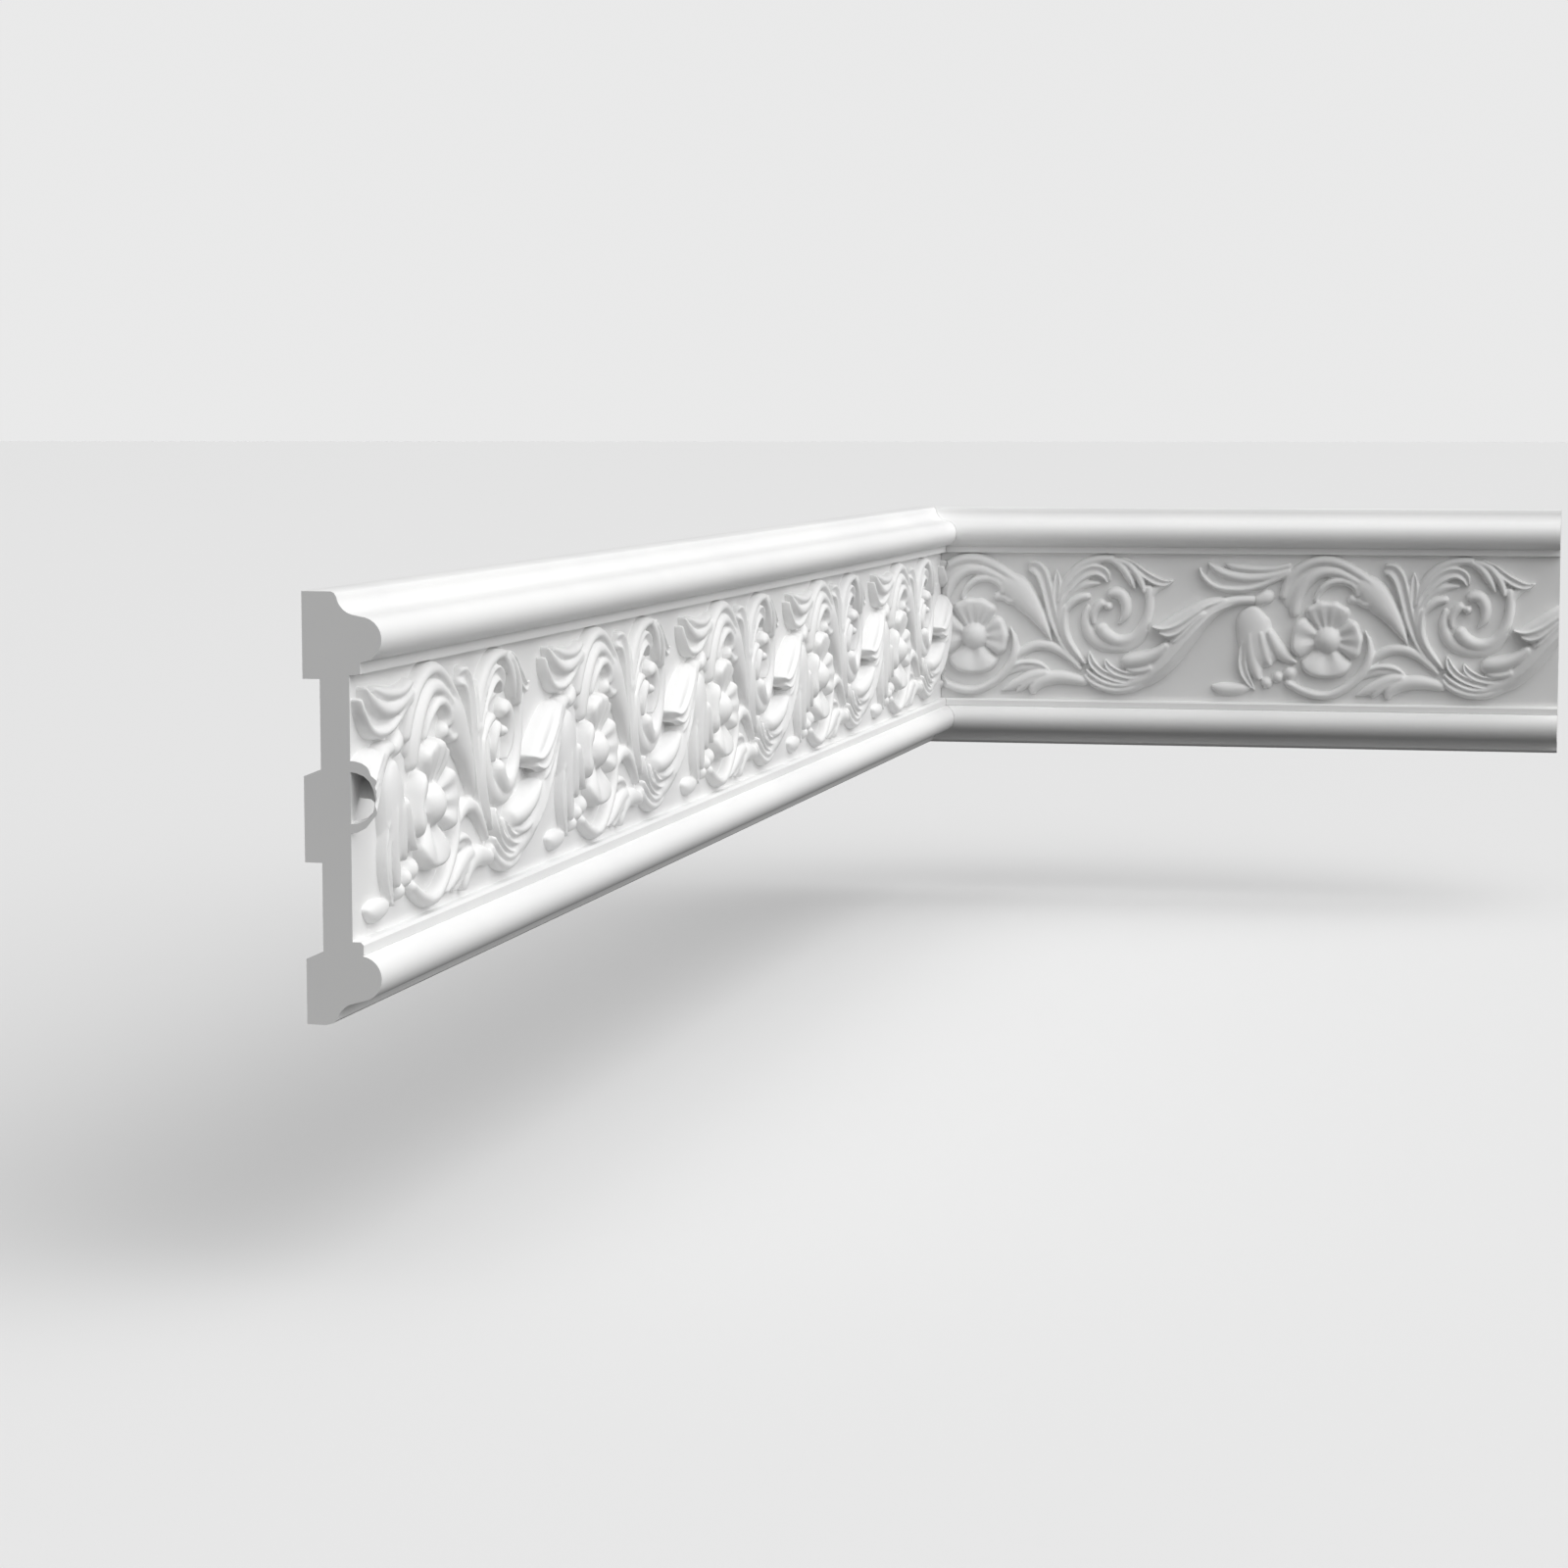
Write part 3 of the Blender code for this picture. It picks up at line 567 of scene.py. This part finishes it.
# A hollow starts deeper in the band than the leaves do, so that it is open below
HOLLOW_BED = BED + 1.0
TIP_PIT = ([(104.5, 60.6), (108.5, 62), (112.5, 63.8)], (1.6, 2.6, 1.4), (4, 5, 3.4))
SAWN_HOLLOW = ([(119, 66.3), (123, 68.5), (127, 71), (133, 76.6), (141, 81.2), (148, 83.4)],
               (4.4, 6.4, 7.6, 5.2, 2.8, 1.2), (6.6, 7.6, 8, 6.4, 4.6, 3.2))


def triangle_count(data):
    return sum(len(face.vertices) - 2 for face in data.polygons)


def finished_mesh(thing, name):
    """The mesh with its modifiers applied, in the place where the object stands."""
    bpy.context.view_layer.update()
    ready = thing.evaluated_get(bpy.context.evaluated_depsgraph_get())
    data = bpy.data.meshes.new_from_object(ready)
    data.name = name
    data.transform(thing.matrix_world)
    return data


def scroll_repeat():
    """Every form of one repeat, crossing each other in one object."""
    mesh = bmesh.new()
    for _, *shape in arching_leaf + bell_flower + spiral + great_stem:
        add_leaf(mesh, *shape)
    for petal in PETALS:
        add_petal(mesh, *petal)
    for dome in domes:
        add_dome(mesh, *dome)
    data = bpy.data.meshes.new("scroll_forms")
    mesh.to_mesh(data)
    mesh.free()
    thing = bpy.data.objects.new("scroll_forms", data)
    bpy.context.scene.collection.objects.link(thing)
    return thing


def relief_without(thing, path, half_widths, crests):
    """The mesh of one repeat with a hollow of the given form cut out of its underside."""
    mesh = bmesh.new()
    add_leaf(mesh, path, half_widths, crests, roll, HOLLOW_BED)
    hollow = new_object("hollow", mesh)
    cut = thing.modifiers.new("cut", "BOOLEAN")
    cut.object = hollow
    cut.operation = "DIFFERENCE"
    cut.solver = "MANIFOLD"
    relief = finished_mesh(thing, "scroll")
    thing.modifiers.remove(cut)
    bpy.data.objects.remove(hollow, do_unlink=True)
    return relief


forms = scroll_repeat()
skin = forms.modifiers.new("skin", "REMESH")
skin.mode = "VOXEL"
skin.voxel_size = VOXEL
soften = forms.modifiers.new("soften", "SMOOTH")
soften.factor = SOFTENING
soften.iterations = 1
forms.data = finished_mesh(forms, "scroll_fine")
forms.modifiers.clear()
fine_triangles = triangle_count(forms.data)
thin = forms.modifiers.new("thin", "DECIMATE")
thin.ratio = RELIEF_TRIANGLES / fine_triangles
scroll = relief_without(forms, *TIP_PIT)
sawn_scroll = relief_without(forms, *SAWN_HOLLOW)
bpy.data.objects.remove(forms, do_unlink=True)
print("one repeat:", fine_triangles, "triangles, thinned to", triangle_count(scroll))

# %% [markdown]
# ## The two lengths
#
# A real corner is two straight lengths that are cut with a saw, square at the free end
# and at 45 degrees at the corner. The model is made in the same order: the section is
# drawn out a little too long, the scroll is joined on at every repeat, and a block with
# the plan of the finished length keeps what the saw would leave. The left length's
# square cut runs through the great stem's leaf and lays its hollow open.

# %% Join, cut and place
# In metres: the gap between the two mitres, and a depth that beads and carving stay within
JOINT_GAP = 0.0003
DEEPEST = 0.040


def combine(thing, other, operation):
    change = thing.modifiers.new(other.name, "BOOLEAN")
    change.object = other
    change.operation = operation
    change.solver = "MANIFOLD"


def plan_block(name, corners):
    """A block with the given plan, taller than the moulding."""
    mesh = bmesh.new()
    verts = [mesh.verts.new((x, y, -SPARE * MM)) for x, y in corners]
    bmesh.ops.contextual_create(mesh, geom=verts)
    moved = bmesh.ops.extrude_face_region(mesh, geom=list(mesh.faces))
    upper = [item for item in moved["geom"] if isinstance(item, bmesh.types.BMVert)]
    bmesh.ops.translate(mesh, verts=upper, vec=(0.0, 0.0, (height + 2 * SPARE) * MM))
    return new_object(name, mesh)


def moulding_length(name, run, first_rosette, sawn_repeat, plan, placement):
    """One length of moulding, cut to its plan; the repeat before the first one is sawn."""
    body = extruded_section(name + "_strip", -SPARE * MM, run + SPARE * MM)
    helpers = [body]
    for number in range(-1, math.ceil((run - first_rosette) / REPEAT) + 1):
        relief = sawn_repeat if number < 0 else scroll
        copy = bpy.data.objects.new(f"{name}_scroll_{number + 1}", relief)
        copy.location.x = first_rosette + number * REPEAT
        bpy.context.scene.collection.objects.link(copy)
        combine(body, copy, "UNION")
        helpers.append(copy)
    helpers.append(plan_block(name + "_plan", plan))
    combine(body, helpers[-1], "INTERSECT")
    data = finished_mesh(body, name)
    data.transform(placement)
    for helper in helpers:
        bpy.data.objects.remove(helper, do_unlink=True)
    piece = bpy.data.objects.new(name, data)
    bpy.context.scene.collection.objects.link(piece)
    return piece


behind = SPARE * MM
slant = JOINT_GAP / math.sqrt(2)
left_plan = ((0.0, behind), (left_run + behind - slant, behind),
             (left_run - DEEPEST - slant, -DEEPEST), (0.0, -DEEPEST))
left_place = Matrix.Translation(corner - Vector((0.0, left_run, 0.0)))
left_place = left_place @ Matrix.Rotation(math.pi / 2, 4, "Z")
left = moulding_length("left_moulding", left_run, LEFT_ROSETTE, sawn_scroll, left_plan,
                       left_place)
right_plan = ((slant - behind, behind), (right_run, behind),
              (right_run, -DEEPEST), (DEEPEST + slant, -DEEPEST))
right = moulding_length("right_moulding", right_run, RIGHT_ROSETTE, scroll, right_plan,
                        Matrix.Translation(corner))
for piece in (left, right):
    print(piece.name, triangle_count(piece.data), "triangles")

# %% [markdown]
# ## Smooth and sharp
#
# The beads, the coves and the leaves are round, so they are shaded smooth, but the
# arrises of the section and the saw cuts are crisp. Whether an edge is crisp is read
# from the angle between its two faces, with a wider limit on the carving, where a cast
# leaf has no truly sharp ridge.

# %% Crisp arrises
CRISP_ON_SECTION = math.radians(28)
CRISP_ON_CARVING = math.radians(75)
# In millimetres: how far off the band, and how far in from its edges, the carving starts
CARVING_OFF_BAND = 0.4
CARVING_OFF_EDGES = 1.0
# How closely a face has to look along the strip or the mitre to count as sawn
SQUARE_WITHIN = 0.001


def sawn(normal):
    """Whether a face looks square along the strip or along the mitre, as the saw leaves it."""
    off = min(abs(abs(normal.x) - 1.0), abs(abs(normal.x) - math.sqrt(0.5)))
    return abs(normal.z) < SQUARE_WITHIN and off < SQUARE_WITHIN


def on_carving(spot):
    """Whether a place in the strip, in millimetres, lies on the carving."""
    inner_up = FIELD_BOTTOM + CARVING_OFF_EDGES < spot.z < FIELD_TOP - CARVING_OFF_EDGES
    return inner_up and -spot.y > FIELD_DEPTH + CARVING_OFF_BAND


def shade(piece, placement):
    """Smooth faces everywhere, and crisp edges where two faces meet at a wide angle."""
    to_strip = placement.inverted()
    turn = to_strip.to_3x3()
    mesh = bmesh.new()
    mesh.from_mesh(piece.data)
    crisp = 0
    for face in mesh.faces:
        face.smooth = True
    for edge in mesh.edges:
        carved = all(on_carving(to_strip @ vert.co / MM) for vert in edge.verts)
        if any(sawn(turn @ face.normal) for face in edge.link_faces):
            carved = False
        limit = CRISP_ON_CARVING if carved else CRISP_ON_SECTION
        edge.smooth = edge.is_manifold and edge.calc_face_angle(0.0) < limit
        crisp += not edge.smooth
    mesh.to_mesh(piece.data)
    mesh.free()
    print(piece.name, "has", crisp, "crisp edges")


shade(left, left_place)
shade(right, Matrix.Translation(corner))

# %% [markdown]
# ## The primer
#
# The casting is sprayed with a white primer: matt to satin, with the faintest orange
# peel, a little more matt where the spray lies thick, and slightly greyer in places.
# All of it is fine and faint, so it is made of noise textures in the object's own
# coordinates, where it doesn't slide when the camera moves.

# %% White primer
PRIMER_COLOUR = (0.86, 0.86, 0.855, 1.0)
PRIMER_SHADE = (0.82, 0.82, 0.82, 1.0)
PRIMER_SHINE = 0.35
# Scale and detail of the noise behind the greyer places, the matter ones and the peel
CLOUDS = (9.0, 3.0)
MOTTLE = (60.0, 2.0)
PEEL = (900.0, 2.0)
CLOUD_EDGES = (0.35, 0.6)
SATIN = 0.42
MATT = 0.58
PEEL_STRENGTH = 0.06
PEEL_HEIGHT = 0.0002


def white_primer():
    material = bpy.data.materials.new("white_primer")
    material.use_nodes = True
    nodes, links = material.node_tree.nodes, material.node_tree.links
    shader = nodes["Principled BSDF"]
    shader.inputs["Specular IOR Level"].default_value = PRIMER_SHINE
    place = nodes.new("ShaderNodeTexCoord")

    def noise(scale, detail):
        texture = nodes.new("ShaderNodeTexNoise")
        texture.inputs["Scale"].default_value = scale
        texture.inputs["Detail"].default_value = detail
        links.new(place.outputs["Object"], texture.inputs["Vector"])
        return texture

    clouds = noise(*CLOUDS)
    colours = nodes.new("ShaderNodeValToRGB")
    stops = zip(colours.color_ramp.elements, CLOUD_EDGES, (PRIMER_SHADE, PRIMER_COLOUR))
    for stop, position, colour in stops:
        stop.position = position
        stop.color = colour
    links.new(clouds.outputs["Fac"], colours.inputs["Fac"])
    links.new(colours.outputs["Color"], shader.inputs["Base Color"])
    mottle = noise(*MOTTLE)
    roughness = nodes.new("ShaderNodeMapRange")
    roughness.inputs["To Min"].default_value = SATIN
    roughness.inputs["To Max"].default_value = MATT
    links.new(mottle.outputs["Fac"], roughness.inputs["Value"])
    links.new(roughness.outputs["Result"], shader.inputs["Roughness"])
    peel = noise(*PEEL)
    bump = nodes.new("ShaderNodeBump")
    bump.inputs["Strength"].default_value = PEEL_STRENGTH
    bump.inputs["Distance"].default_value = PEEL_HEIGHT
    links.new(peel.outputs["Fac"], bump.inputs["Height"])
    links.new(bump.outputs["Normal"], shader.inputs["Normal"])
    return material


primer = white_primer()
for piece, node in ((left, "left_length"), (right, "right_length")):
    piece.data.materials.clear()
    piece.data.materials.append(primer)
    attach(piece, "root")
    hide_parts(node)
print("material:", primer.name)

# %% [markdown]
# ## Floor and light
#
# The moulding is glued up by its back and hangs free here, with only a pale floor under
# it. Studio light is soft: it comes from one wide bright area at the upper right that
# fades all round, so the left length turns white, the right one light grey, and the
# leaves are a little darker where they meet the band. Lamps would give harder edges, so
# the light is a gradient in the surround itself. The floor doesn't throw light back up,
# so the beads keep their dark undersides.

# %% Floor
FLOOR_DROP = 0.085
FLOOR_HALF = 30.0
FLOOR_COLOUR = (0.8, 0.8, 0.8, 1.0)
FLOOR_ROUGHNESS = 0.9

floor_mesh = bmesh.new()
bmesh.ops.create_grid(floor_mesh, x_segments=1, y_segments=1, size=FLOOR_HALF)
bmesh.ops.translate(floor_mesh, verts=floor_mesh.verts, vec=(0.0, 0.0, bottom - FLOOR_DROP))
floor = new_object("floor", floor_mesh)
floor_paint = bpy.data.materials.new("floor_paint")
floor_paint.use_nodes = True
floor_shader = floor_paint.node_tree.nodes["Principled BSDF"]
floor_shader.inputs["Base Color"].default_value = FLOOR_COLOUR
floor_shader.inputs["Roughness"].default_value = FLOOR_ROUGHNESS
floor.data.materials.append(floor_paint)
floor.visible_diffuse = False
floor.visible_glossy = False
print("floor at", round(bottom - FLOOR_DROP, 4))

# %% Soft light
LIGHT_FROM = (0.63, -0.165, 0.759)
LIGHT_FADE = 3.0
LIGHT_BRIGHTEST = 2.9
LIGHT_EVERYWHERE = 0.12
SURROUND_SEEN = 0.82

world = bpy.data.worlds.new("studio")
world.use_nodes = True
world_nodes, world_links = world.node_tree.nodes, world.node_tree.links


def step(operation, value, *numbers):
    """One step of arithmetic in the surround: a value from another node, then numbers."""
    node = world_nodes.new("ShaderNodeMath")
    node.operation = operation
    world_links.new(value, node.inputs[0])
    for socket, number in zip(node.inputs[1:], numbers):
        socket.default_value = number
    return node.outputs["Value"]


towards = world_nodes.new("ShaderNodeTexCoord")
facing = world_nodes.new("ShaderNodeVectorMath")
facing.operation = "DOT_PRODUCT"
facing.inputs[1].default_value = LIGHT_FROM
world_links.new(towards.outputs["Generated"], facing.inputs[0])
glow = step("POWER", step("MAXIMUM", facing.outputs["Value"], 0.0), LIGHT_FADE)
glow = step("MULTIPLY_ADD", glow, LIGHT_BRIGHTEST, LIGHT_EVERYWHERE)
seen = world_nodes.new("ShaderNodeLightPath")
strength = world_nodes.new("ShaderNodeMapRange")
strength.inputs["To Max"].default_value = SURROUND_SEEN
world_links.new(seen.outputs["Is Camera Ray"], strength.inputs["Value"])
world_links.new(glow, strength.inputs["To Min"])
world_nodes["Background"].inputs["Color"].default_value = (1.0, 1.0, 1.0, 1.0)
world_links.new(strength.outputs["Result"], world_nodes["Background"].inputs["Strength"])
bpy.context.scene.world = world
bpy.context.scene.view_settings.view_transform = "Standard"
print("light from", LIGHT_FROM, "over a surround of", LIGHT_EVERYWHERE)
